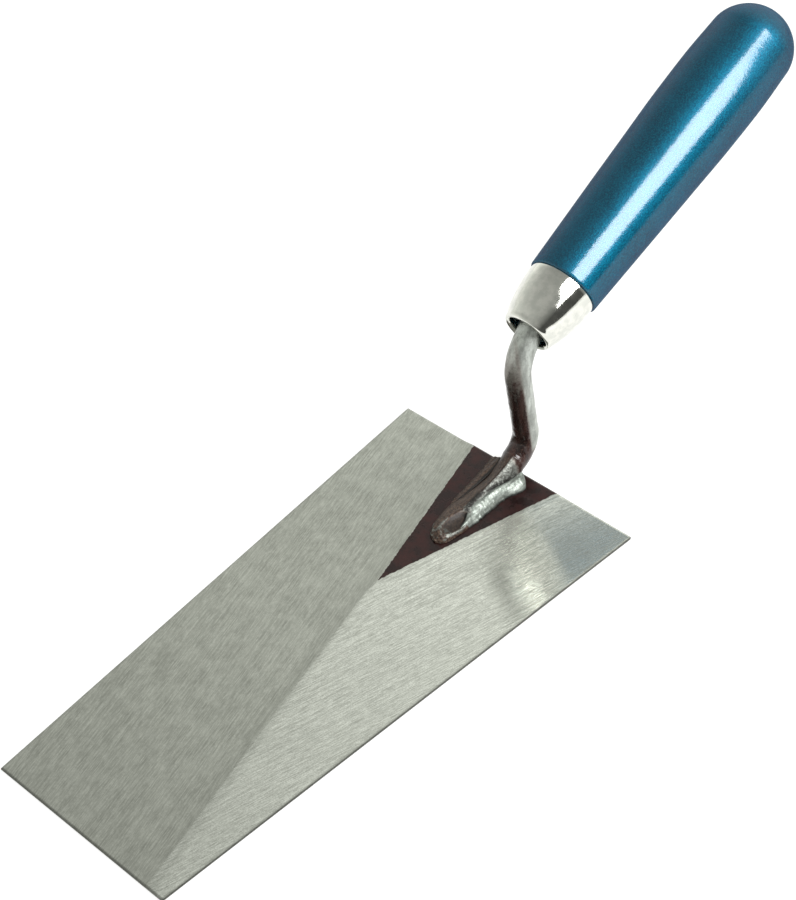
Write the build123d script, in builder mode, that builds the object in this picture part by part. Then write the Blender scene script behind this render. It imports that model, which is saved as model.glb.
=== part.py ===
"""Brick trowel: ground steel blade, forged cranked neck, plated ferrule and lacquered wooden handle.

The origin is the middle of the blade's underside. +X points to the blade's front edge,
+Z up, and the blade lies flat on Z = 0. The handle rises backwards over the heel.
"""

import os
from math import cos, radians, sin, tan

from build123d import *

os.makedirs("parts", exist_ok=True)

# Blade
blade_length = 200.0
blade_heel_width = 98.2
blade_front_width = 68.6
blade_thickness = 1.4
blade_corner_radius = 0.8
heel_x = -blade_length / 2

# Unground triangle that is left at full thickness between the two ground facets
pad_left_y = -18.5
pad_right_y = 17.9
pad_tip_x = heel_x + 70.4
pad_tip_y = -0.9

# Depth of grinding below the pad, as (distance from the pad's side, depth)
left_shoulder = (4.4, 0.50)
left_fall = (66.0, 0.60)
right_shoulder = (2.5, 0.10)
right_fall = (70.0, 0.44)

# Handle axis: it starts at the seam between the ferrule and the wood
seam_x = heel_x - 19.2
seam_z = 69.4
handle_pitch = 24.3

# Neck: a round bar cranked twice between the handle axis and the blade
neck_diameter = 9.1
shank_lean = 12.85
upper_corner_x = -94.75
lower_corner_z = 9.9
upper_bend_radius = 19.0
lower_bend_radius = 9.45
foot_slope = 22.0
foot_run = 9.0

# Foot: forged stations as (distance from the heel, centre Y, width, height above the pad)
foot_stations = (
    (0.5, 0.0, 9.1, 10.0),
    (4.0, 0.0, 9.3, 8.8),
    (10.0, 0.0, 9.4, 6.9),
    (18.0, 0.1, 10.2, 5.2),
    (31.0, 0.4, 12.0, 3.5),
    (38.5, 0.6, 10.0, 2.8),
    (43.0, 1.3, 6.8, 2.1),
    (45.4, 1.6, 2.4, 1.0),
)

# Tang: the tapered square spike inside the wood
tang_length = 74.0
tang_root_side = 6.2
tang_tip_side = 3.0

# Ferrule: a tapered sheet-metal cap whose mouth is rolled inwards
ferrule_length = 20.0
ferrule_sheet = 0.8
ferrule_wide_radius = 12.2
ferrule_waist_radius = 11.35
ferrule_narrow_radius = 9.1
ferrule_mouth_radius = 7.1
ferrule_lip = 1.8
tenon_length = 11.0

# Wooden grip
grip_length = 123.4
grip_front_radius = 12.8
grip_middle_radius = 15.0
grip_middle_at = 54.7
grip_widest_radius = 16.0
grip_widest_at = 92.0
grip_shoulder_radius = 15.5
grip_shoulder_at = 109.4
grip_edge_break = 0.4

# Weld beads: radius at the heel end and at the toe end, and the line that each follows
weld_left_radii = (4.3, 2.0)
weld_left_line = ((heel_x + 2.6, -5.6), (heel_x + 29.0, -4.6))
weld_right_radii = (3.2, 2.1)
weld_right_line = ((heel_x + 4.4, 5.0), (heel_x + 28.4, 4.7))

# Planes and points that the pieces share
pitch = radians(handle_pitch)
to_butt = Vector(-cos(pitch), 0, sin(pitch))
seam = Vector(seam_x, 0, seam_z)
handle_side = Plane(origin=seam, x_dir=to_butt, z_dir=(0, 1, 0))
handle_axis = Axis(seam, to_butt)
pad_top = Plane.XY.offset(blade_thickness)


def on_handle(distance):
    """Plane across the handle axis, at a distance behind the seam."""
    return Plane(origin=seam + to_butt * distance, x_dir=(0, 1, 0), z_dir=to_butt)


def ground_plane(edge_y):
    """Plane across the blade at the pad's tip, normal to the pad side that starts at edge_y."""
    side = Vector(pad_tip_x - heel_x, pad_tip_y - edge_y, 0)
    return Plane(origin=(pad_tip_x, pad_tip_y, blade_thickness), x_dir=(0, 0, 1), z_dir=side)


# Blade: a flat trapezoid with both faces beside the pad ground down
with BuildPart() as blade:
    with BuildSketch() as blade_outline:
        with BuildLine():
            Polyline(
                (heel_x, -blade_heel_width / 2),
                (-heel_x, -blade_front_width / 2),
                (-heel_x, blade_front_width / 2),
                (heel_x, blade_heel_width / 2),
                close=True,
            )
        make_face()
        fillet(blade_outline.vertices(), blade_corner_radius)
    extrude(amount=blade_thickness)
    for edge_y, shoulder, fall, outward in (
        (pad_left_y, left_shoulder, left_fall, 1),
        (pad_right_y, right_shoulder, right_fall, -1),
    ):
        with BuildSketch(ground_plane(edge_y)):
            with BuildLine():
                Polyline(
                    (0, 0),
                    (-shoulder[1], -outward * shoulder[0]),
                    (-fall[1], -outward * fall[0]),
                    (blade_thickness, -outward * fall[0]),
                    (blade_thickness, 0),
                    close=True,
                )
            make_face()
        extrude(amount=blade_length, both=True, mode=Mode.SUBTRACT)

blade.part.label = "blade"

# Neck: tang, double bend and foot are one forging
lean = radians(shank_lean)
slope = radians(foot_slope)
upper_corner = Vector(upper_corner_x, 0, seam_z - (upper_corner_x - seam_x) * tan(pitch))
lower_corner = upper_corner + Vector(-tan(lean), 0, -1) * (upper_corner.Z - lower_corner_z)
foot_root = lower_corner + Vector(cos(slope), 0, -sin(slope)) * foot_run
tang_root = on_handle(-tenon_length).origin

with BuildPart() as neck:
    with BuildLine() as neck_line:
        FilletPolyline(
            tang_root,
            upper_corner,
            lower_corner,
            foot_root,
            radius=(upper_bend_radius, lower_bend_radius),
        )
    with BuildSketch(Plane(origin=tang_root, x_dir=(0, 1, 0), z_dir=-to_butt)):
        Circle(neck_diameter / 2)
    sweep(path=neck_line.line)
    with BuildSketch(on_handle(-tenon_length)):
        Rectangle(tang_root_side, tang_root_side)
    with BuildSketch(on_handle(tang_length - tenon_length)):
        Rectangle(tang_tip_side, tang_tip_side)
    loft()
    for distance, centre_y, width, height in foot_stations:
        with BuildSketch(Plane.YZ.offset(heel_x + distance)):
            with BuildLine():
                EllipticalCenterArc(
                    (centre_y, blade_thickness), width / 2, height, start_angle=0, arc_size=180
                )
                Line(
                    (centre_y - width / 2, blade_thickness),
                    (centre_y + width / 2, blade_thickness),
                )
            make_face()
    loft()
neck.part.label = "neck"

# Weld beads: a tapering round fillet along each side of the foot
def weld_bead(label, line, radii):
    """Bead between two points of the pad, with its radius at each of them."""
    start = Vector(*line[0], blade_thickness)
    end = Vector(*line[1], blade_thickness)
    with BuildPart() as bead:
        for point, radius in zip((start, end), radii):
            with Locations(point):
                Sphere(radius)
        for point, radius in zip((start, end), radii):
            with BuildSketch(Plane(origin=point, z_dir=end - start)):
                Circle(radius)
        loft()
        split(bisect_by=pad_top, keep=Keep.TOP)
        split(bisect_by=Plane.YZ.offset(heel_x), keep=Keep.TOP)
        add(neck.part, mode=Mode.SUBTRACT)
    bead.part.label = label
    return bead.part


weld_left = weld_bead("weld_left", weld_left_line, weld_left_radii)
weld_right = weld_bead("weld_right", weld_right_line, weld_right_radii)

# Ferrule: a drawn sheet cap, its narrow end rolled in round the mouth
outer_points = (
    (0, ferrule_wide_radius),
    (-ferrule_length / 2, ferrule_waist_radius),
    (ferrule_lip - ferrule_length, ferrule_narrow_radius),
)
inner_points = [(along, radius - ferrule_sheet) for along, radius in outer_points]
with BuildPart() as ferrule:
    with BuildSketch(handle_side):
        with BuildLine():
            Spline(*outer_points)
            ThreePointArc(
                outer_points[-1],
                (-ferrule_length, (ferrule_narrow_radius + ferrule_mouth_radius) / 2),
                (ferrule_lip - ferrule_length, ferrule_mouth_radius),
            )
            Line((ferrule_lip - ferrule_length, ferrule_mouth_radius), inner_points[-1])
            Spline(*reversed(inner_points))
            Line(inner_points[0], outer_points[0])
        make_face()
    revolve(axis=handle_axis)
ferrule.part.label = "ferrule"

# Grip: a turned handle whose tenon fills the ferrule and whose core holds the tang
with BuildPart() as grip:
    with BuildSketch(handle_side) as grip_profile:
        with BuildLine():
            Line((0, 0), (0, grip_front_radius - grip_edge_break))
            Line(
                (0, grip_front_radius - grip_edge_break),
                (grip_edge_break, grip_front_radius),
            )
            flank = Spline(
                (grip_edge_break, grip_front_radius),
                (grip_middle_at, grip_middle_radius),
                (grip_widest_at, grip_widest_radius),
                (grip_shoulder_at, grip_shoulder_radius),
            )
            Spline(
                (grip_shoulder_at, grip_shoulder_radius),
                (grip_length, 0),
                tangents=(flank % 1, (0, -1)),
            )
            Line((grip_length, 0), (0, 0))
        make_face()
    revolve(axis=handle_axis)
    with BuildSketch(handle_side):
        with BuildLine():
            Spline(*inner_points)
            Polyline(inner_points[-1], (ferrule_lip - ferrule_length, 0), (0, 0), inner_points[0])
        make_face()
        with Locations((-tenon_length, 0)):
            Rectangle(
                tenon_length,
                ferrule_wide_radius,
                align=(Align.MIN, Align.MIN),
                mode=Mode.INTERSECT,
            )
    revolve(axis=handle_axis)
    add(neck.part, mode=Mode.SUBTRACT)
grip.part.label = "grip"

for piece in (blade.part, neck.part, weld_left, weld_right, ferrule.part, grip.part):
    export_step(piece, f"parts/{piece.label}.step")
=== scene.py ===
"""Brick trowel: detailed meshes, materials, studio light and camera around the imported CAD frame.

Shapes are worked out in millimetres in the object's own frame: the blade's underside is Z = 0,
the heel is at -X, the front edge at +X. They are turned into metres when a mesh is made.
"""

from math import cos, pi, radians, sin, tan

import bpy
import numpy as np
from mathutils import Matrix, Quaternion, Vector, noise


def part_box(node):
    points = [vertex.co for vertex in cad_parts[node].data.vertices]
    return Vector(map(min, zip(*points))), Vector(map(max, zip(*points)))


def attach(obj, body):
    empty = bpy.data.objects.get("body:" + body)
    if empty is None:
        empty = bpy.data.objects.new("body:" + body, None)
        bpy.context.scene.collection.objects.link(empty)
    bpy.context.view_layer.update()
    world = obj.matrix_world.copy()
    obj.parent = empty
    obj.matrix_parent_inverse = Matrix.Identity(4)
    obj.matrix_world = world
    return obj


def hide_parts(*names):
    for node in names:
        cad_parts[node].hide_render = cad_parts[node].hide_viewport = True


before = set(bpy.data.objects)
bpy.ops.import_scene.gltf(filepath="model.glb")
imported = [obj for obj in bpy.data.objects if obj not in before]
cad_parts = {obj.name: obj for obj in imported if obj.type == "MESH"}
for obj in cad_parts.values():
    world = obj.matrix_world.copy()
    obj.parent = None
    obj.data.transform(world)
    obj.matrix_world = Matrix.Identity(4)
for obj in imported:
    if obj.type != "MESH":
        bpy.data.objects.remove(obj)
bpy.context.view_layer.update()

MM = 0.001

# Sizes that the visual pieces share with the CAD model, in millimetres
BLADE_LOW, BLADE_HIGH = (np.array(corner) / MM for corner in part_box("blade"))
HEEL_X = BLADE_LOW[0]
FRONT_X, WIDEST_HALF, BLADE_TOP = BLADE_HIGH
# Half widths where the blade's two sides, carried on past the rounded corners, would end
HEEL_HALF = 49.1
FRONT_HALF = 34.3
# Corners of the pad, the triangle at the heel that isn't ground
PAD_TIP = np.array([HEEL_X + 70.4, -0.9])
PAD_LEFT = np.array([HEEL_X, -18.5])
PAD_RIGHT = np.array([HEEL_X, 17.9])
# Middle of the seam between ferrule and grip, and how far the handle's axis rises from it
SEAM = np.array([HEEL_X - 19.2, 0.0, 69.4])
PITCH = radians(24.3)
BAR_RADIUS = 4.55
# Along the handle's axis and across it
TO_BUTT = np.array([-cos(PITCH), 0.0, sin(PITCH)])
HANDLE_UP = np.array([sin(PITCH), 0.0, cos(PITCH)])
SIDEWAYS = np.array([0.0, 1.0, 0.0])


# ---------------------------------------------------------------- mesh helpers

def smoothstep(low, high, value):
    """0 below low, 1 above high and smooth between them."""
    t = np.clip((value - low) / (high - low), 0.0, 1.0)
    return t * t * (3.0 - 2.0 * t)


def curve_through(points):
    """Function that runs smoothly through (position, value) points, with no overshoot."""
    xs, ys = np.array(points, dtype=float).T
    steps = np.diff(xs)
    slopes = np.diff(ys) / steps
    tangents = np.zeros_like(ys)
    tangents[0] = slopes[0]
    tangents[-1] = slopes[-1]
    same = slopes[:-1] * slopes[1:] > 0
    tangents[1:-1][same] = 2.0 * (slopes[:-1] * slopes[1:])[same] / (slopes[:-1] + slopes[1:])[same]

    def value_at(x):
        x = np.clip(x, xs[0], xs[-1])
        k = np.clip(np.searchsorted(xs, x) - 1, 0, len(steps) - 1)
        t = (x - xs[k]) / steps[k]
        start = (1 + 2 * t) * (1 - t) ** 2 * ys[k] + t * (1 - t) ** 2 * steps[k] * tangents[k]
        end = t * t * (3 - 2 * t) * ys[k + 1] + t * t * (t - 1) * steps[k] * tangents[k + 1]
        return start + end

    return value_at


def ripple(point, wavelength, seed):
    """Smooth noise of about -1 to 1 at a point, both in millimetres."""
    x, y, z = (float(c) / wavelength for c in point)
    return noise.noise(Vector((x + seed, y - seed, z + 2.0 * seed)))


def add_object(name, data):
    """Object in the scene for a mesh, a light or a camera."""
    made = bpy.data.objects.new(name, data)
    bpy.context.scene.collection.objects.link(made)
    return made


def make_object(name, points, faces, node):
    """Mesh object from points in millimetres. It rides on the trowel and replaces a CAD node."""
    mesh = bpy.data.meshes.new(name)
    mesh.from_pydata([tuple(float(c) * MM for c in p) for p in points], [], faces)
    mesh.update()
    mesh.shade_smooth()
    piece = add_object(name, mesh)
    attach(piece, "root")
    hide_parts(node)
    return piece


def ring_faces(rings, around, loop=False):
    """Quads between rings of points. loop joins the last ring to the first."""
    faces = []
    for ring in range(rings if loop else rings - 1):
        after = (ring + 1) % rings
        for k in range(around):
            turn = (k + 1) % around
            faces.append((ring * around + k, ring * around + turn,
                          after * around + turn, after * around + k))
    return faces


def turned(profile, around, wobble, wavelength, seed):
    """Rings of points round the handle axis for a profile of (distance behind the seam, radius).

    wobble is how far the surface strays from the true round, in millimetres.
    """
    points = []
    for along, radius in profile:
        for k in range(around):
            angle = 2.0 * pi * k / around
            out = SIDEWAYS * cos(angle) + HANDLE_UP * sin(angle)
            place = SEAM + TO_BUTT * along + out * radius
            points.append(place + out * (wobble * ripple(place, wavelength, seed)))
    return points


# ---------------------------------------------------------------- node helpers

class Nodes:
    """The node tree of a material or of the world."""

    def __init__(self, tree):
        self.tree = tree

    def feed(self, socket, value):
        """Links an output to a socket, or sets the socket to a constant."""
        if isinstance(value, bpy.types.NodeSocket):
            self.tree.links.new(value, socket)
        else:
            socket.default_value = value

    def node(self, kind, settings=None, **inputs):
        """Node with its settings and its inputs, whose names have _ for a space."""
        made = self.tree.nodes.new(kind)
        for name, value in (settings or {}).items():
            setattr(made, name, value)
        for name, value in inputs.items():
            self.feed(made.inputs[name.replace("_", " ")], value)
        return made

    def math(self, operation, *values):
        """One step of arithmetic on numbers or outputs."""
        made = self.node("ShaderNodeMath", {"operation": operation})
        for socket, value in zip(made.inputs, values):
            self.feed(socket, value)
        return made.outputs[0]


class Look(Nodes):
    """A material's nodes. Each method adds a node and gives its output socket."""

    def __init__(self, name):
        self.material = bpy.data.materials.new(name)
        self.material.use_nodes = True
        super().__init__(self.material.node_tree)
        self.shader = self.tree.nodes["Principled BSDF"]
        self.place = self.node("ShaderNodeTexCoord").outputs["Object"]

    def step(self, value, low, high, to_low=0.0, to_high=1.0):
        """Smooth change from to_low to to_high while the value goes from low to high."""
        made = self.node("ShaderNodeMapRange", {"interpolation_type": "SMOOTHSTEP"}, Value=value,
                         From_Min=low, From_Max=high, To_Min=to_low, To_Max=to_high)
        return made.outputs["Result"]

    def mix(self, factor, first, second):
        """Mix of two colours."""
        made = self.node("ShaderNodeMix", {"data_type": "RGBA"})
        for index, value in ((0, factor), (6, first), (7, second)):
            if isinstance(value, tuple):
                value = (*value, 1.0)
            self.feed(made.inputs[index], value)
        return made.outputs[2]

    def blend(self, factor, first, second):
        """Mix of two numbers."""
        made = self.node("ShaderNodeMix", {"data_type": "FLOAT"})
        for index, value in ((0, factor), (2, first), (3, second)):
            self.feed(made.inputs[index], value)
        return made.outputs[0]

    def stretched(self, angle, along, across, upright=None):
        """Coordinates turned about Z, where one unit is along by across by upright millimetres."""
        sizes = (1 / (along * MM), 1 / (across * MM), 1 / ((upright or across) * MM))
        turn = self.node("ShaderNodeMapping", {"vector_type": "POINT"}, Vector=self.place,
                         Rotation=(0.0, 0.0, -angle)).outputs[0]
        return self.node("ShaderNodeMapping", {"vector_type": "POINT"}, Vector=turn,
                         Scale=sizes).outputs[0]

    def noise(self, coords, scale=1.0, detail=2.0, roughness=0.5):
        """Noise of 0 to 1 that is mostly between 0.3 and 0.7."""
        made = self.node("ShaderNodeTexNoise", None, Vector=coords, Scale=scale, Detail=detail,
                         Roughness=roughness)
        return made.outputs["Fac"]

    def grain(self, size, detail=2.0, roughness=0.5):
        """Even noise whose features are about size millimetres."""
        return self.noise(self.place, 1 / (size * MM), detail, roughness)

    def attribute(self, name):
        """Number that paint_attribute stored on the mesh."""
        return self.node("ShaderNodeAttribute", {"attribute_name": name}).outputs["Fac"]

    def bump(self, height, distance, strength=1.0):
        """Normal bent by a height of 0 to 1 that stands for distance millimetres."""
        made = self.node("ShaderNodeBump", None, Height=height, Distance=distance * MM,
                         Strength=strength)
        return made.outputs[0]

    def finish(self, **inputs):
        """Feeds the shader and gives the finished material."""
        for name, value in inputs.items():
            if isinstance(value, tuple) and len(value) == 3:
                value = (*value, 1.0)
            self.feed(self.shader.inputs[name.replace("_", " ")], value)
        return self.material


def paint_attribute(piece, name, values):
    """Stores one number per vertex, for a material to read."""
    layer = piece.data.attributes.new(name, "FLOAT", "POINT")
    layer.data.foreach_set("value", np.asarray(values, dtype=np.float32))


# ---------------------------------------------------------------- blade

LEFT_SIDE = (PAD_TIP - PAD_LEFT) / np.linalg.norm(PAD_TIP - PAD_LEFT)
RIGHT_SIDE = (PAD_TIP - PAD_RIGHT) / np.linalg.norm(PAD_TIP - PAD_RIGHT)
LEFT_ANGLE = float(np.arctan2(LEFT_SIDE[1], LEFT_SIDE[0]))
RIGHT_ANGLE = float(np.arctan2(RIGHT_SIDE[1], RIGHT_SIDE[0]))


def left_of_pad(x, y):
    """Distance outwards from the line along the pad's left side."""
    return LEFT_SIDE[1] * (x - PAD_TIP[0]) - LEFT_SIDE[0] * (y - PAD_TIP[1])


def right_of_pad(x, y):
    """Distance outwards from the line along the pad's right side."""
    return -RIGHT_SIDE[1] * (x - PAD_TIP[0]) + RIGHT_SIDE[0] * (y - PAD_TIP[1])


def ground_depths(x, y):
    """How deep each of the two grinding passes cuts below the pad: a step, then a long slope."""
    left_step, left_slope = 0.50, 0.10
    right_step, right_slope = 0.10, 0.34
    left = left_of_pad(x, y)
    right = right_of_pad(x, y)
    left_cut = left_step * smoothstep(-0.6, 5.4, left)
    left_cut += left_slope * np.clip((left - 4.4) / 61.6, 0, 1)
    right_cut = right_step * smoothstep(-0.3, 2.8, right)
    right_cut += right_slope * np.clip((right - 2.5) / 67.5, 0, 1)
    return left_cut, right_cut


def half_width(x):
    """Half of the blade's width at a place along X.

    The CAD blade's corners are rounded, so at the heel it is a little narrower than HEEL_HALF.
    """
    return np.minimum(np.interp(x, [HEEL_X, FRONT_X], [HEEL_HALF, FRONT_HALF]), WIDEST_HALF)


def blade_grid():
    """Plan of the blade's top: lines of points across, which lie closer together at the rim."""
    rim = np.array((0.0, 0.10, 0.30))
    inside = 0.8
    inner_lines, inner_points = 330, 150
    corner_cut = 0.25
    xs = np.concatenate([HEEL_X + rim, np.linspace(HEEL_X + inside, FRONT_X - inside, inner_lines),
                         FRONT_X - rim[::-1]])
    lines = []
    for x in xs:
        half = half_width(x)
        across = np.linspace(-1, 1, inner_points) * (half - inside)
        ys = np.concatenate([rim - half, across, (half - rim)[::-1]])
        lines.append(np.stack([np.full_like(ys, x), ys], axis=1))
    grid = np.array(lines)
    for end, inwards_x in ((0, 1), (-1, -1)):
        for side, inwards_y in ((0, 1), (-1, -1)):
            grid[end, side] += np.array([inwards_x, inwards_y]) * corner_cut
    return grid


def top_levels(grid, away):
    """Height of the ground top face. away is how far each point is from the blade's outline."""
    left_cut, right_cut = ground_depths(grid[..., 0], grid[..., 1])
    # The soft maximum of the two cuts rounds the ridge where they meet
    ridge_width = 0.03
    cut = ridge_width * (np.logaddexp(left_cut / ridge_width, right_cut / ridge_width) - np.log(2.0))
    cut = np.clip(cut, 0.0, None)
    # Long shallow hollows that the grinding left
    wavelength = 34.0
    wave = np.array([[ripple((x, y, 0.0), wavelength, 3.1) for x, y in line] for line in grid])
    hollows = 0.035 * (wave + 1.0) * smoothstep(0.0, 0.15, cut)
    worn_rim = 0.12 * (1.0 - smoothstep(0.0, 0.30, away))
    return BLADE_TOP - cut - hollows - worn_rim


def add_underside(points, faces, border):
    """Sides, a small bevel and the flat bottom, below a border of point numbers."""
    bevel_height = 0.12
    bevel_width = 0.10
    last = border
    for inset, level in ((0.0, bevel_height), (bevel_width, 0.0)):
        ring = []
        for k in border:
            x, y = points[k][:2]
            # The ends move in along X, the sides along Y, and the corners both ways
            at_end = min(x - HEEL_X, FRONT_X - x) < 0.5
            x -= np.sign(x) * inset * at_end
            at_side = half_width(x) - abs(y) < 0.6
            y -= np.sign(y) * inset * at_side
            ring.append(len(points))
            points.append((x, y, level))
        for k in range(len(border)):
            turn = (k + 1) % len(border)
            faces.append((last[turn], last[k], ring[k], ring[turn]))
        last = ring
    faces.append(tuple(last[::-1]))


def paint_blade(blade, grid, away):
    """The right facet, the painted shade on the shoulder left of the pad and a band along the rim, 0 off
    the top face.
    """
    x, y = grid[..., 0], grid[..., 1]
    left_cut, right_cut = ground_depths(x, y)
    left = left_of_pad(x, y)
    layers = {
        "right_facet": smoothstep(-0.035, 0.035, right_cut - left_cut),
        "shoulder": smoothstep(-0.5, 1.5, left) * (1 - smoothstep(3.0, 7.0, left)),
        "rim": 1.0 - smoothstep(0.10, 0.45, away),
    }
    for name, values in layers.items():
        everywhere = np.zeros(len(blade.data.vertices))
        everywhere[:values.size] = values.ravel()
        paint_attribute(blade, name, everywhere)


def map_grinding(blade):
    """UV map whose U direction runs across the scratches of the facet that each face is on."""
    layer = blade.data.uv_layers.new(name="grinding")
    for polygon in blade.data.polygons:
        centre = polygon.center / MM
        left_cut, right_cut = ground_depths(centre.x, centre.y)
        along = RIGHT_SIDE if right_cut > left_cut else LEFT_SIDE
        for loop in polygon.loop_indices:
            corner = blade.data.vertices[blade.data.loops[loop].vertex_index].co
            layer.data[loop].uv = (-corner.x * along[1] + corner.y * along[0],
                                   corner.x * along[0] + corner.y * along[1])


def build_blade():
    grid = blade_grid()
    lines, across = grid.shape[:2]
    x, y = grid[..., 0], grid[..., 1]
    # The middle point of each line has the x that the corner cuts leave alone
    half = half_width(grid[:, across // 2, 0])[:, None]
    away = np.minimum(np.minimum(x - HEEL_X, FRONT_X - x), half - np.abs(y))
    levels = top_levels(grid, away)
    points = [(*plan, level) for plan, level in zip(grid.reshape(-1, 2), levels.ravel())]
    index = np.arange(lines * across).reshape(lines, across)
    faces = []
    for i in range(lines - 1):
        for j in range(across - 1):
            faces.append((index[i, j], index[i + 1, j], index[i + 1, j + 1], index[i, j + 1]))
    border = [*index[:-1, 0], *index[-1, :-1], *index[:0:-1, -1], *index[0, :0:-1]]
    add_underside(points, faces, border)
    blade = make_object("ground_blade", points, [tuple(int(k) for k in face) for face in faces],
                        "blade")
    paint_blade(blade, grid, away)
    map_grinding(blade)
    return blade


def ground_steel():
    """Belt-ground steel with directional scratches, and brown lacquer on the unground pad."""
    look = Look("ground_steel")
    xyz = look.node("ShaderNodeSeparateXYZ", None, Vector=look.place)

    def beyond(side, sign):
        """Distance in millimetres outside one side of the pad."""
        dx = look.math("SUBTRACT", xyz.outputs["X"], float(PAD_TIP[0] * MM))
        dy = look.math("SUBTRACT", xyz.outputs["Y"], float(PAD_TIP[1] * MM))
        first = look.math("MULTIPLY", dx, float(sign * side[1] / MM))
        second = look.math("MULTIPLY", dy, float(-sign * side[0] / MM))
        return look.math("ADD", first, second)

    # The lacquer lies between the pad's two sides, ends in a ragged line and is only on the top face
    ragged = look.step(look.noise(look.stretched(0.0, 1.5, 1.5)), 0.3, 0.7, -0.14, 0.14)
    left_out = look.math("ADD", beyond(LEFT_SIDE, 1), ragged)
    right_out = look.math("ADD", beyond(RIGHT_SIDE, -1), ragged)
    outside = look.math("MAXIMUM", left_out, right_out)
    faces = look.node("ShaderNodeNewGeometry").outputs["True Normal"]
    facing = look.node("ShaderNodeSeparateXYZ", None, Vector=faces).outputs["Z"]
    upward = look.step(facing, 0.6, 0.9)
    lacquer = look.math("MULTIPLY", look.step(outside, 0.08, -0.08), upward)

    right_facet = look.attribute("right_facet")
    shoulder = look.attribute("shoulder")

    def scratches(angle):
        """Height of the grinding marks of one facet."""
        long_lines = look.noise(look.stretched(angle, 24.0, 0.45, 1.0), detail=3.0, roughness=0.62)
        short_lines = look.noise(look.stretched(angle, 3.6, 0.34, 1.0), detail=3.0, roughness=0.7)
        return look.math("ADD", look.math("MULTIPLY", long_lines, 0.42),
                         look.math("MULTIPLY", short_lines, 0.58))

    marks = look.blend(right_facet, scratches(LEFT_ANGLE), scratches(RIGHT_ANGLE))
    tone = look.step(marks, 0.36, 0.64)
    # Painted light: both facets are the same steel, but the right one gets a much lighter colour for the
    # brighter reflection that its scratch direction catches
    steel_left = look.mix(tone, (0.31, 0.318, 0.286), (0.51, 0.523, 0.477))
    steel_right = look.mix(tone, (0.48, 0.492, 0.45), (0.85, 0.87, 0.81))
    steel = look.mix(right_facet, steel_left, steel_right)

    # Dark specks, pale clouds, painted shade on the shoulder, a dark line along the rim and the dark
    # sides
    speck = look.grain(0.55, 3.0, 0.75)
    cloud = look.grain(6.0, 4.0, 0.6)
    steel = look.mix(look.step(speck, 0.38, 0.66, 0.0, 0.42), steel, (0.27, 0.278, 0.245))
    steel = look.mix(look.step(cloud, 0.36, 0.66, 0.0, 0.13), steel, (0.78, 0.80, 0.73))
    # Painted shade darkens the shoulder beside the ridge
    steel = look.mix(look.math("MULTIPLY", shoulder, 0.22), steel, (0.24, 0.248, 0.22))
    rim = look.math("MULTIPLY", look.attribute("rim"), 0.62)
    steel = look.mix(rim, steel, (0.085, 0.085, 0.075))
    sides = look.math("MULTIPLY", look.step(look.math("ABSOLUTE", facing), 0.9, 0.6), 0.85)
    steel = look.mix(sides, steel, (0.075, 0.075, 0.065))

    blotch = look.grain(4.5, 4.0, 0.6)
    brown = look.mix(look.step(blotch, 0.35, 0.68), (0.024, 0.0060, 0.0056), (0.066, 0.0165, 0.0152))
    dirt = look.step(look.grain(0.9, 3.0, 0.7), 0.45, 0.75, 0.0, 0.35)
    brown = look.mix(dirt, brown, (0.028, 0.015, 0.013))

    bare_rough = look.blend(right_facet, 0.34, 0.20)
    bare_rough = look.math("ADD", bare_rough, look.step(marks, 0.3, 0.7, 0.04, -0.04))
    rough = look.blend(lacquer, bare_rough, look.step(blotch, 0.3, 0.7, 0.22, 0.40))
    height = look.blend(lacquer, marks, look.math("ADD", look.grain(2.6, 3.0), 0.25))
    tangent = look.node("ShaderNodeTangent", {"direction_type": "UV_MAP", "uv_map": "grinding"})
    return look.finish(
        Base_Color=look.mix(lacquer, steel, brown),
        Metallic=look.blend(lacquer, 1.0, 0.0),
        Roughness=rough,
        Anisotropic=0.95,
        Tangent=tangent.outputs[0],
        Coat_Weight=look.math("MULTIPLY", lacquer, 0.12),
        Coat_Roughness=0.16,
        Specular_IOR_Level=0.22,
        Normal=look.bump(height, 0.012),
    )


# ---------------------------------------------------------------- neck

# Corners of the bar's centre line, the radii that round them, and how far its runs lean and dip
UPPER_X = -94.75
UPPER_CORNER = np.array([UPPER_X, 0.0, SEAM[2] - (UPPER_X - SEAM[0]) * tan(PITCH)])
UPPER_BEND = 19.0
LEAN = radians(12.85)
LOWER_LEVEL = 9.9
LOWER_CORNER = UPPER_CORNER + np.array([-tan(LEAN), 0.0, -1.0]) * (UPPER_CORNER[2] - LOWER_LEVEL)
LOWER_BEND = 9.45
FOOT_DIP = radians(24.0)
# Across the bar, towards the side that has lost its lacquer
BARE_SIDE = (-0.654, 0.756)

# Foot, from the lower bend (0) to the toe (1). Distances are from the heel and above the pad.
FOOT_LENGTH = 45.4
CREST_X = curve_through([(0, 3.0), (0.08, 6.0), (0.2, 11.5), (0.33, 17.0), (0.45, 22.0),
                         (0.62, 30.0), (0.8, 38.0), (0.93, 43.2), (1, FOOT_LENGTH)])
CREST_Z = curve_through([(0, 9.9), (0.08, 8.5), (0.2, 6.5), (0.33, 5.3), (0.45, 4.4),
                         (0.62, 3.4), (0.8, 2.7), (0.93, 2.0), (1, 0.7)])
SOLE_X = curve_through([(0, -0.8), (0.04, 1.4), (0.08, 4.2), (0.2, 11.0), (0.33, 17.0),
                        (0.45, 22.0), (0.62, 30.0), (0.8, 38.0), (0.93, 43.2), (1, 45.3)])
SOLE_Z = curve_through([(0, 1.7), (0.04, 0.5), (0.08, -0.05), (0.2, -0.1), (1, -0.1)])
FOOT_HALF = curve_through([(0, 4.55), (0.12, 4.35), (0.33, 4.5), (0.45, 5.1), (0.62, 5.9),
                           (0.8, 5.1), (0.9, 3.9), (0.96, 2.6), (1, 0.6)])
FOOT_Y = curve_through([(0, 0.0), (0.33, 0.0), (0.62, 0.4), (0.8, 0.7), (0.93, 1.4), (1, 1.7)])
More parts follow.
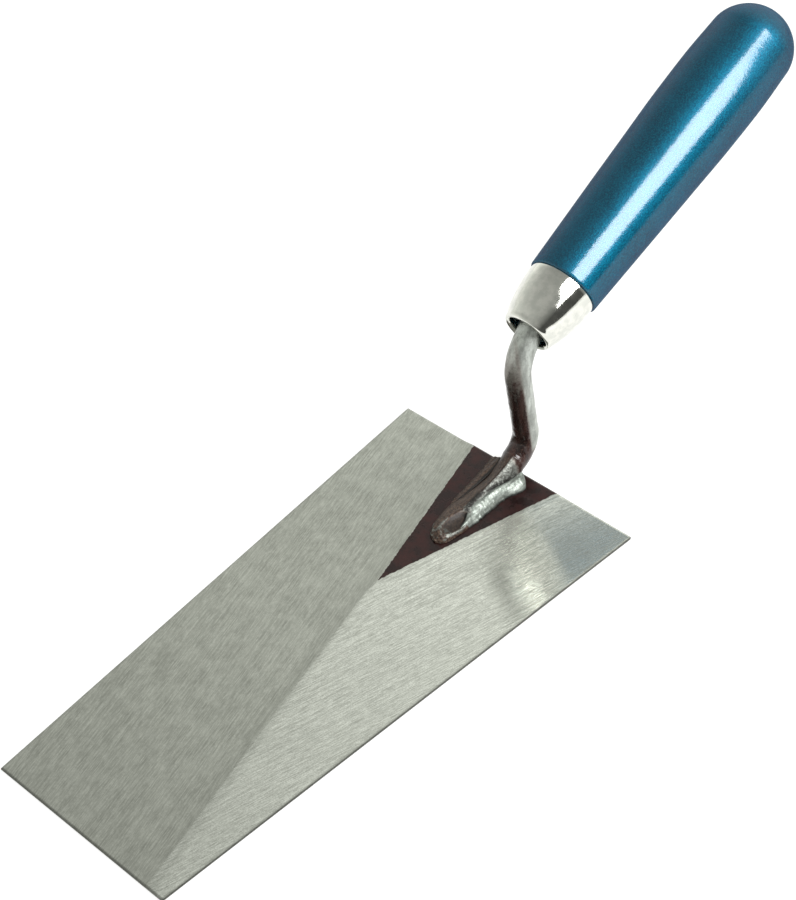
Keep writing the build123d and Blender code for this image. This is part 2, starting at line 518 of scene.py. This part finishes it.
BASE_LEVEL = curve_through([(0, 0.5), (0.12, 0.22), (0.25, 0.08), (1, 0.05)])
FLANK_FLAT = curve_through([(0, 0.0), (0.1, 0.45), (0.25, 0.75), (0.55, 0.6), (0.75, 0.2), (1, 0.0)])
CREST_Y = curve_through([(0, 0.2), (0.15, 1.0), (0.4, 0.9), (0.7, 0.2), (1, 0.0)])


def arc(before, corner, after, radius, steps):
    """Points and directions of the arc that rounds a corner between two lines."""
    first = (corner - before) / np.linalg.norm(corner - before)
    second = (after - corner) / np.linalg.norm(after - corner)
    turn = np.arccos(first @ second)
    reach = radius * np.tan(turn / 2)
    centre = corner + (second - first) / np.linalg.norm(second - first) * radius / cos(turn / 2)
    spoke = corner - first * reach - centre
    path = []
    for angle in np.linspace(0, turn, steps):
        place = centre + spoke * cos(angle) + first * radius * sin(angle)
        heading = first * cos(angle) - spoke / radius * sin(angle)
        path.append((place, heading))
    return path


def straight(start, end, spacing):
    """Points and directions along a line, without its end."""
    steps = max(2, int(np.linalg.norm(end - start) / spacing))
    heading = (end - start) / np.linalg.norm(end - start)
    return [(start + (end - start) * k / steps, heading) for k in range(steps)]


def bar_path():
    """Points and directions along the bar, from inside the ferrule to the end of the lower bend."""
    start = SEAM - TO_BUTT * 11.5
    foot_aim = LOWER_CORNER + np.array([cos(FOOT_DIP), 0.0, -sin(FOOT_DIP)]) * 20.0
    upper = arc(start, UPPER_CORNER, LOWER_CORNER, UPPER_BEND, 54)
    lower = arc(UPPER_CORNER, LOWER_CORNER, foot_aim, LOWER_BEND, 34)
    path = straight(start, upper[0][0], 0.6) + upper[:-1]
    path += straight(upper[-1][0], lower[0][0], 0.55) + lower
    return path


def neck_sections():
    """Cross sections down the bar and along the foot.

    Each one has its crest and sole, half its width, the y of its middle, the share of its height
    where it is widest, how flat its flanks are, and how far its crest is moved sideways.
    """
    sections = []
    for place, heading in bar_path():
        # The crest side of the bar is the inside of the lower bend
        to_crest = np.array([-heading[2], 0.0, heading[0]]) * BAR_RADIUS
        sections.append((place + to_crest, place - to_crest, BAR_RADIUS, 0.0, 0.5, 0.0, 0.0))
    for u in [*np.linspace(0.012, 0.93, 96), *np.linspace(0.94, 1.0, 10)]:
        crest = np.array([HEEL_X + CREST_X(u), 0.0, BLADE_TOP + CREST_Z(u)])
        sole = np.array([HEEL_X + SOLE_X(u), 0.0, BLADE_TOP + SOLE_Z(u)])
        sections.append((crest, sole, FOOT_HALF(u), FOOT_Y(u), BASE_LEVEL(u), FLANK_FLAT(u), CREST_Y(u)))
    return sections


def section_point(section, angle):
    """Point on a section's outline. The crest is at a quarter turn and the sole at three quarters."""
    crest, sole, half, centre_y, base, flat, crest_y = section
    hub = sole + (crest - sole) * base
    c, s = cos(angle), sin(angle)
    if s > 0:
        ramp = 1 - 2 * angle / pi
        across = (1 - flat) * c + flat * ramp
        rise = (1 - flat) * s + flat * (1 - abs(ramp)) ** 0.9
        place = hub + (crest - hub) * rise
    else:
        # The lower the hub lies, the squarer the corners where the foot meets the pad
        squareness = 1 - 2 * min(base, 0.5)
        across = c
        place = hub + (sole - hub) * abs(s) ** (1 - 0.6 * squareness)
    y = centre_y + half * across + crest_y * max(s, 0) ** 2
    return np.array([place[0], y, place[2]])


def dish_reach(ahead, across):
    """0 at the middle of the dished bevel on the toe, 1 at its rim."""
    half_length, half_breadth = 6.6, 2.7
    middle = 2.4 - 0.06 * (ahead - 36)
    return np.hypot((ahead - 35.8) / half_length, (across - middle) / half_breadth)


def foot_relief(place, ahead):
    """Height that the dish, its rim and the pits add to a point of the foot."""
    reach = dish_reach(ahead, place[1])
    dish = -1.15 * max(0.0, 1 - reach ** 2.4)
    rim = 0.30 * np.exp(-((reach - 1.12) / 0.16) ** 2)
    on_toe = float(smoothstep(38.5, 41.5, ahead))
    by_weld = float(smoothstep(0.5, 1.2, place[1]) * (ahead < 22))
    pits = 0.45 * on_toe * ripple(place, 0.9, 4.4) + 0.22 * by_weld * ripple(place, 0.8, 7.1)
    return dish + rim + pits


def hammer_neck(points, rings, around):
    """Forging marks along the neck, and the relief of the foot."""
    grid = points.reshape(rings, around, 3)
    outward = grid - grid.mean(axis=1, keepdims=True)
    outward /= np.linalg.norm(outward, axis=2, keepdims=True) + 1e-9
    shaped = points.copy()
    for k, (place, out) in enumerate(zip(points, outward.reshape(-1, 3))):
        level = place[2] - BLADE_TOP
        ahead = place[0] - HEEL_X
        on_foot = float(smoothstep(0.0, 6.0, ahead) * (level < 12))
        rough = 0.10 + 0.10 * on_foot
        push = rough * (ripple(place, 5.5, 1.7) + 0.5 * ripple(place, 1.6, 8.2))
        # The bar is a little thinner between its bends, and the sole stays flat on the pad
        if 18 < level < 62:
            push -= 0.10
        if level < 0.15:
            push = 0.0
        shaped[k] += out * push
        if on_foot and level > 0.3:
            shaped[k][2] = max(shaped[k][2] + foot_relief(place, ahead), BLADE_TOP + 0.2)
    return shaped


def paint_neck(neck, shaped):
    """Where the brown lacquer, the dull forged skin and the painted shade of the weld line lie on the
    neck.
    """
    level = shaped[:, 2] - BLADE_TOP
    ahead = shaped[:, 0] - HEEL_X
    across = shaped[:, 1]
    on_foot = smoothstep(2.5, 6.0, ahead) * (1 - smoothstep(10.0, 14.0, level))
    crest = CREST_Y(np.clip(ahead / FOOT_LENGTH, 0, 1))
    reach = dish_reach(ahead, across)
    # Bright chips: bare metal among the pits of the toe, and spatter in the dark weld line
    chips = smoothstep(0.12, 0.34, np.array([ripple(place, 0.95, 2.2) for place in shaped]))

    # The bar keeps its lacquer on one side, in a thin stripe and on the lower bend
    middle_x = LOWER_CORNER[0] + (shaped[:, 2] - LOWER_CORNER[2]) * tan(LEAN)
    side = ((shaped[:, 0] - middle_x) * BARE_SIDE[0] + across * BARE_SIDE[1]) / BAR_RADIUS
    shank = (1 - smoothstep(26.0, 66.0, level)) * (1 - smoothstep(0.10, 0.55, side))
    stripe = 0.46 * np.exp(-((side - 0.15) / 0.24) ** 2) * (1 - smoothstep(52, 66, level))
    bend = 1 - smoothstep(7.0, 12.0, level)
    bar = np.maximum(np.maximum(shank, stripe), bend)

    # The foot keeps it left of the crest and on the toe, but not on the dish's rim and the chips
    foot = np.maximum(1 - smoothstep(-0.1, 0.5, across - crest), smoothstep(27, 31, ahead))
    rim = np.exp(-((reach - 1.10) / 0.14) ** 2) * (across > 1.2 - 0.3 * (ahead - 30)) * (ahead < 42)
    foot *= 1 - rim * on_foot
    foot *= 1 - 0.9 * chips * smoothstep(37.5, 40.5, ahead)

    # Painted shade lies in the crevice along the weld; the crest line and the dish are darkened as well
    off_line = np.hypot(across - RIGHT_ROOT_Y(ahead), level - RIGHT_ROOT_Z(ahead))
    weld_line = (1 - smoothstep(0.65, 1.55, off_line)) * (ahead < 32) * (1 - 0.8 * chips)
    crest_line = (1 - smoothstep(0.15, 0.6, np.abs(across - 0.1 - crest))) * (ahead < 27)
    dish = 0.7 * (1 - smoothstep(0.75, 0.98, reach))
    shade_and_darkening = np.maximum(np.maximum(weld_line, dish), 0.7 * crest_line * (level > 1.5))

    paint_attribute(neck, "lacquer", bar * (1 - on_foot) + foot * on_foot)
    paint_attribute(neck, "shade_and_darkening", shade_and_darkening * on_foot)
    paint_attribute(neck, "dull", on_foot)


def build_neck():
    around = 64
    angles = 2 * pi * (np.arange(around) + 0.5) / around
    sections = neck_sections()
    points = np.array([section_point(section, angle) for section in sections for angle in angles])
    shaped = hammer_neck(points, len(sections), around)
    faces = ring_faces(len(sections), around)
    faces.append(tuple(range(around - 1, -1, -1)))
    faces.append(tuple(range(len(points) - around, len(points))))
    neck = make_object("forged_neck", shaped, faces, "neck")
    paint_neck(neck, shaped)
    return neck


def lacquered_steel(name, steel_low, steel_high, scale_size, streak):
    """Forged steel under patchy brown lacquer, for the neck and the weld beads.

    The mesh's attributes steer it: lacquer is how much of it is left, shade_and_darkening is where it is
    black (painted shade in the weld crevices), and dull is where heat has left steel and lacquer rough
    and pitted.
    """
    look = Look(name)
    field = look.attribute("lacquer")
    broad = look.noise(look.stretched(0.0, *streak), 1.0, 4.0, 0.6)
    patch = look.math("ADD", look.math("MULTIPLY", look.grain(1.6, 4.0, 0.65), 0.65),
                      look.math("MULTIPLY", broad, 0.55))
    shown = look.math("ADD", field, look.math("MULTIPLY", look.math("SUBTRACT", patch, 0.6), 1.3))
    lacquer = look.step(shown, 0.26, 0.78)
    scale = look.grain(scale_size, 4.0, 0.65)
    dull = look.attribute("dull")

    # Bare steel: dark mill scale, bright scuffs, a brown stain beside the lacquer and dark pits
    steel = look.mix(look.step(broad, 0.35, 0.68), steel_low, steel_high)
    steel = look.mix(look.step(scale, 0.52, 0.78, 0.0, 0.55), steel, (0.13, 0.12, 0.11))
    scuffs = look.step(look.grain(0.45, 2.0), 0.60, 0.75, 0.0, 0.5)
    steel = look.mix(scuffs, steel, (0.60, 0.60, 0.56))
    stain = look.step(look.math("ADD", field, look.math("MULTIPLY", broad, 0.3)), 0.15, 0.75, 0.0, 0.7)
    steel = look.mix(stain, steel, (0.20, 0.160, 0.138))
    pitted = look.math("MULTIPLY", dull, look.step(look.grain(0.8, 3.0, 0.7), 0.38, 0.62, 0.45, 0.96))
    steel = look.mix(pitted, steel, (0.10, 0.10, 0.09))

    # Lacquer: glossy on the bar, burnt to a rough skin on the foot
    brown = look.mix(look.step(broad, 0.34, 0.68), (0.010, 0.0050, 0.0045), (0.036, 0.0150, 0.0125))
    brown = look.mix(look.step(scale, 0.48, 0.74, 0.0, 0.55), brown, (0.085, 0.055, 0.042))
    burnt = look.step(look.grain(0.7, 4.0, 0.75), 0.40, 0.62)
    skin = look.mix(burnt, (0.022, 0.0125, 0.0095), (0.105, 0.070, 0.048))
    brown = look.mix(look.math("MULTIPLY", dull, 0.75), brown, skin)
    # Near black: painted shade in the weld crevices, and darkening on the crest and in the dish
    shade_and_darkening = look.math("MULTIPLY", look.attribute("shade_and_darkening"), look.step(scale, 0.30, 0.55, 0.7, 1.0))

    gloss_rough = look.step(broad, 0.3, 0.7, 0.16, 0.32)
    bare_rough = look.math("ADD", look.step(scale, 0.3, 0.7, 0.38, 0.54),
                           look.math("MULTIPLY", dull, 0.12))
    height = look.math("ADD", look.math("MULTIPLY", scale, 0.6), broad)
    height = look.math("ADD", height, look.math("MULTIPLY", look.grain(0.7, 3.0), 0.35))
    return look.finish(
        Base_Color=look.mix(shade_and_darkening, look.mix(lacquer, steel, brown), (0.006, 0.005, 0.004)),
        Metallic=look.math("SUBTRACT", 1.0, look.math("MAXIMUM", lacquer, shade_and_darkening)),
        Roughness=look.blend(lacquer, bare_rough, look.blend(dull, gloss_rough, 0.55)),
        Specular_IOR_Level=0.25,
        Coat_Weight=look.math("MULTIPLY", lacquer, look.step(dull, 0.0, 1.0, 0.45, 0.06)),
        Coat_Roughness=0.10,
        Normal=look.bump(height, 0.11, 0.8),
    )


# ---------------------------------------------------------------- weld beads

# Line where each bead meets the foot: y and height above the pad, by distance from the heel
RIGHT_ROOT_Y = curve_through([(0.9, 3.7), (8.8, 3.2), (14.8, 2.2), (21.5, 1.0), (28.0, 1.6),
                              (33.0, 4.0), (40.0, 5.0)])
RIGHT_ROOT_Z = curve_through([(0.9, 3.3), (8.8, 3.2), (14.8, 3.6), (21.5, 3.6), (28.0, 2.9),
                              (33.0, 2.1), (40.0, 1.0)])
LEFT_ROOT_Y = curve_through([(0.3, -3.6), (10, -3.6), (20, -3.9), (30, -4.6)])
LEFT_ROOT_Z = curve_through([(0.3, 4.4), (10, 3.0), (20, 1.9), (30, 0.9)])


def bead_level(x, y, t, top, swell, bulge, seed):
    """Height of a bead above the pad, where t is 0 at its outer edge and 1 at the foot."""
    hump = sin(pi * t) * swell
    z = top * sin(t * pi / 2) ** 0.8 + bulge * hump
    # Long flow lines, faint ripples, then small pits that grow towards the ragged outer edge
    z += hump * 0.42 * ripple((x * 0.22, y, 0), 1.5, seed)
    z += hump * 0.03 * sin(2 * pi * (x + 1.5 * t * t) / 1.7 + 2.2 * ripple((x, 0, 0), 4.0, seed))
    z += hump * (0.05 + 0.42 * (1 - t) ** 3) * ripple((x, y, z), 0.85, seed)
    return max(z, 0.0)


def build_bead(name, node, outer, root_y, root_z, start, end, taper, bulge, seed, lacquer, dull):
    """Weld bead between its outer edge on the pad and the line where it meets the foot.

    It thins out over taper at its far end. lacquer and dull are the same all over it.
    """
    near_taper = 1.8
    sunk_edge = 0.06
    sunk_root = 0.1
    stations = np.linspace(start, end, 150)
    rungs = np.linspace(0, 1, 24)
    points, shade_and_darkening = [], []
    for x in stations:
        swell = max(min(1.0, (x - start) / near_taper, (end - x) / taper), 0.02) ** 0.5
        ragged = 0.42 * ripple((x, 0, 0), 2.3, seed) + 0.34 * ripple((x, 0, 0), 0.9, seed + 2)
        inner = float(root_y(x))
        edge = inner + (float(outer(x)) - inner) * swell
        top = float(root_z(x)) * swell
        for t in rungs:
            y = edge + (inner - edge) * t + ragged * np.sign(outer(x)) * swell * (1 - t) ** 4
            level = bead_level(x, y, t, top, swell, bulge, seed)
            points.append((HEEL_X + x, y, BLADE_TOP + level - sunk_edge * (t == 0)))
            # Painted shade: dark where the bead meets the foot and the pad, and black along its sunk
            # root
            by_foot = float(smoothstep(0.74, 0.88, t))
            by_pad = float(smoothstep(0.10, 0.03, t))
            shade_and_darkening.append(max(by_foot, 0.85 * by_pad))
        points.append((HEEL_X + x, inner, BLADE_TOP - sunk_root))
        shade_and_darkening.append(1.0)
    around = len(rungs) + 1
    faces = ring_faces(len(stations), around)
    faces.append(tuple(range(around))[::-1])
    faces.append(tuple(range(len(points) - around, len(points))))
    if outer(start) < 0:
        # Left of the foot the same order of points would turn the faces inside out
        faces = [face[::-1] for face in faces]
    bead = make_object(name, points, faces, node)
    paint_attribute(bead, "lacquer", [lacquer] * len(points))
    paint_attribute(bead, "shade_and_darkening", shade_and_darkening)
    paint_attribute(bead, "dull", [dull] * len(points))
    return bead


def build_welds():
    left = build_bead(
        "weld_fillet_left", "weld_left",
        outer=curve_through([(0.3, -10.4), (6, -9.1), (10.7, -8.4), (15.4, -7.7), (24.4, -6.8),
                             (30, -6.2)]),
        root_y=LEFT_ROOT_Y, root_z=LEFT_ROOT_Z, start=0.3, end=30.0, taper=4.0, bulge=0.10,
        seed=5.0, lacquer=0.97, dull=0.97)
    right = build_bead(
        "weld_bead_right", "weld_right",
        outer=curve_through([(0.9, 5.3), (3.4, 7.3), (5.9, 9.0), (8.3, 8.5), (12.6, 7.0), (16.6, 6.6),
                             (24.8, 6.7), (31, 6.6), (36, 6.3), (40, 5.6)]),
        root_y=RIGHT_ROOT_Y, root_z=RIGHT_ROOT_Z, start=0.9, end=40.0, taper=9.0, bulge=0.55,
        seed=11.0, lacquer=0.08, dull=0.45)
    return left, right


# ---------------------------------------------------------------- ferrule and grip

def build_ferrule():
    """Thin cap with a rounded lip. Distances are behind the seam, so those in front are negative."""
    lip_start = -18.2
    lip_length = 1.78
    lip_outer, lip_inner = 9.1, 7.1
    sheet = 0.8
    outer = curve_through([(-18.3, lip_outer), (-15, 10.25), (-10, 11.35), (-5, 12.0), (-1.2, 12.2),
                           (0, 12.12)])
    profile = [(along, float(outer(along))) for along in np.linspace(0, lip_start, 48)]
    for angle in np.linspace(0, pi, 14)[1:]:
        radius = (lip_outer + lip_inner) / 2 + (lip_outer - lip_inner) / 2 * cos(angle)
        profile.append((lip_start - lip_length * sin(angle), radius))
    profile += [(along, float(outer(along)) - sheet) for along in np.linspace(-17.2, -0.2, 24)]
    around = 128
    points = turned(profile, around, wobble=0.008, wavelength=10.0, seed=2.4)
    faces = ring_faces(len(profile), around, loop=True)
    return make_object("plated_ferrule", points, faces, "ferrule")


def plated_metal():
    """Bright nickel plate with a faint haze and small dark pits."""
    look = Look("plated_metal")
    haze = look.grain(2.5, 3.0)
    pits = look.grain(0.5, 2.0, 0.7)
    tone = look.mix(look.step(haze, 0.35, 0.7), (0.68, 0.69, 0.64), (0.81, 0.805, 0.75))
    tone = look.mix(look.step(pits, 0.66, 0.78, 0.0, 0.5), tone, (0.30, 0.30, 0.27))
    return look.finish(
        Base_Color=tone,
        Metallic=1.0,
        Roughness=look.step(haze, 0.3, 0.7, 0.07, 0.10),
        Normal=look.bump(look.math("ADD", haze, look.math("MULTIPLY", pits, 0.3)), 0.006, 0.6),
    )


def build_grip():
    """Turned handle: a rounded front edge at the seam, a long flank and a domed butt."""
    length = 123.4
    shoulder = 109.4
    shoulder_radius = 15.47
    # Both ends stay this far inside the CAD grip
    gap = 0.02
    flank = curve_through([(0.4, 12.8), (28, 13.95), (54.7, 15.0), (76, 15.8), (92, 16.0),
                           (shoulder, shoulder_radius)])
    profile = [(gap, 9.0), (gap, 12.2), (0.06, 12.42), (0.20, 12.66)]
    profile += [(along, float(flank(along))) for along in np.linspace(0.45, shoulder, 150)]
    dome = length - shoulder
    for angle in np.linspace(0, pi / 2, 42)[1:-1]:
        radius = shoulder_radius * cos(angle) - 0.055 * dome * sin(angle) * cos(angle)
        profile.append((shoulder + dome * sin(angle) - gap, radius))
    around = 144
    points = turned(profile, around, wobble=0.06, wavelength=26.0, seed=6.0)
    tip = len(points)
    points.append(SEAM + TO_BUTT * (length - gap))
    faces = [face[::-1] for face in ring_faces(len(profile), around)]
    last = tip - around
    faces += [(tip, last + (k + 1) % around, last + k) for k in range(around)]
    faces.append(tuple(range(around)))
    return make_object("lacquered_grip", points, faces, "grip")


def metallic_lacquer():
    """Blue metallic lacquer: fine flakes under a clear coat with orange peel."""
    look = Look("metallic_lacquer")
    flake = look.grain(0.5, 2.0, 0.8)
    cloud = look.grain(9.0, 3.0, 0.55)
    blue = look.mix(look.step(cloud, 0.35, 0.68), (0.001, 0.055, 0.102), (0.001, 0.071, 0.131))
    blue = look.mix(look.step(flake, 0.40, 0.66, 0.0, 0.75), blue, (0.002, 0.140, 0.222))
    peel = look.grain(1.7, 2.0, 0.6)
    coat_height = look.math("ADD", peel, look.math("MULTIPLY", flake, 0.22))
    # A coat of high IOR and low weight mirrors the key sharply but adds little white at the flanks
    return look.finish(
        Base_Color=blue,
        Metallic=1.0,
        Roughness=look.step(flake, 0.3, 0.7, 0.46, 0.54),
        Normal=look.bump(flake, 0.12, 0.9),
        Specular_Tint=(0.05, 0.26, 0.34),
        Coat_Weight=0.165,
        Coat_Roughness=0.15,
        Coat_IOR=3.0,
        Coat_Normal=look.bump(coat_height, 0.045, 0.8),
    )


# ---------------------------------------------------------------- studio

def direction(azimuth, elevation):
    """Unit vector towards an azimuth (0 is -Y, 90 is +X) and an elevation, in degrees."""
    a, e = radians(azimuth), radians(elevation)
    return Vector((sin(a) * cos(e), -cos(a) * cos(e), sin(e)))


def looking_from(azimuth, elevation, roll):
    """Rotation of a lamp or camera that looks back from that direction, rolled about its axis."""
    level = direction(azimuth, elevation).to_track_quat("Z", "Y")
    return level @ Quaternion((0, 0, 1), radians(roll))


def softbox(name, azimuth, elevation, distance, width, height, power, aim, roll):
    """Rectangular area light that shines at aim from a distance in metres."""
    light = bpy.data.lights.new(name, "AREA")
    light.shape = "RECTANGLE"
    light.size = width
    light.size_y = height
    light.energy = power
    lamp = add_object(name, light)
    lamp.location = aim + direction(azimuth, elevation) * distance
    lamp.rotation_mode = "QUATERNION"
    lamp.rotation_quaternion = looking_from(azimuth, elevation, roll)
    return lamp


def light_only(lamp, pieces):
    """Keeps a light off everything except these pieces."""
    lit = bpy.data.collections.new("lit_by_" + lamp.name)
    for piece in pieces:
        lit.objects.link(piece)
    lamp.light_linking.receiver_collection = lit


def build_floor():
    """Backlit white table top: bright enough to stay white where the trowel's shadow falls."""
    # In metres, just below the blade
    half = 60.0
    level = -0.0004
    corners = [(-half, -half, level), (half, -half, level), (half, half, level), (-half, half, level)]
    mesh = bpy.data.meshes.new("studio_floor")
    mesh.from_pydata(corners, [], [(0, 1, 2, 3)])
    floor = add_object("studio_floor", mesh)
    look = Look("studio_floor")
    haze = look.noise(look.place, 3.0, 2.0)
    floor.data.materials.append(look.finish(
        Base_Color=look.mix(haze, (0.20, 0.20, 0.20), (0.21, 0.21, 0.21)),
        Roughness=0.9,
        Specular_IOR_Level=0.0,
        Emission_Color=(1.0, 1.0, 0.99),
        Emission_Strength=0.88,
    ))
    return floor


def build_world():
    """Grey studio: lighter low down towards -Y, darker there towards +Y, lighter towards -X and +X."""
    world = bpy.data.worlds.new("studio")
    bpy.context.scene.world = world
    world.use_nodes = True
    sky = Nodes(world.node_tree)
    ray = sky.node("ShaderNodeTexCoord").outputs["Generated"]
    x, y, z = sky.node("ShaderNodeSeparateXYZ", None, Vector=ray).outputs
    grey, darkest = 0.34, 0.08
    side_gain, behind_gain, ahead_gain = -0.55, 1.45, 0.24
    low = sky.math("MULTIPLY", sky.math("SUBTRACT", 0.95, z), 1.18)
    low = sky.math("MINIMUM", sky.math("MAXIMUM", low, 0.0), 1.0)
    side = sky.math("MULTIPLY", sky.math("MULTIPLY", y, low), side_gain)
    behind = sky.math("MAXIMUM", sky.math("SUBTRACT", -0.15, x), 0.0)
    behind = sky.math("MULTIPLY", behind, behind_gain)
    ahead = sky.math("MULTIPLY", sky.math("MAXIMUM", x, 0.0), ahead_gain)
    level = sky.math("ADD", sky.math("ADD", side, behind), grey)
    level = sky.math("MAXIMUM", sky.math("ADD", level, ahead), darkest)
    tint = sky.node("ShaderNodeCombineColor")
    for socket, share in zip(tint.inputs, (1.0, 1.018, 0.965)):
        sky.feed(socket, sky.math("MULTIPLY", level, share))
    sky.feed(sky.tree.nodes["Background"].inputs["Color"], tint.outputs[0])


def build_camera(place, azimuth, elevation, roll):
    """Camera at the photo's own viewpoint, found from the blade's four corners."""
    camera = bpy.data.cameras.new("camera")
    camera.lens = 73.36
    camera.sensor_width = 36.0
    camera.clip_start = 0.01
    viewer = add_object("camera", camera)
    viewer.rotation_mode = "QUATERNION"
    viewer.rotation_quaternion = looking_from(azimuth, elevation, roll)
    viewer.location = place
    bpy.context.scene.camera = viewer


build_blade().data.materials.append(ground_steel())

neck = build_neck()
neck.data.materials.append(lacquered_steel(
    "forged_steel", steel_low=(0.300, 0.315, 0.292), steel_high=(0.56, 0.592, 0.552),
    scale_size=0.6, streak=(2.4, 2.4, 10.0)))
beads = build_welds()
bead_metal = lacquered_steel(
    "weld_metal", steel_low=(0.20, 0.228, 0.206), steel_high=(0.44, 0.49, 0.45),
    scale_size=0.9, streak=(8.0, 1.3, 1.3))
for bead in beads:
    bead.data.materials.append(bead_metal)
ferrule = build_ferrule()
ferrule.data.materials.append(plated_metal())
grip = build_grip()
grip.data.materials.append(metallic_lacquer())

floor = build_floor()
build_world()
key = softbox("key_softbox", azimuth=184, elevation=48, distance=1.0, width=0.58, height=0.62,
              power=17.0, aim=Vector((-0.145, 0.0, 0.06)), roll=-7)
# The ground steel would mirror the key as a white sheet, so it is lit by the world and the floor
light_only(key, [neck, *beads, ferrule, grip, floor])
build_camera(Vector((0.2747, 0.2702, 0.43646)), azimuth=130.84, elevation=42.82, roll=0.42)
bpy.context.scene.view_settings.view_transform = "Standard"
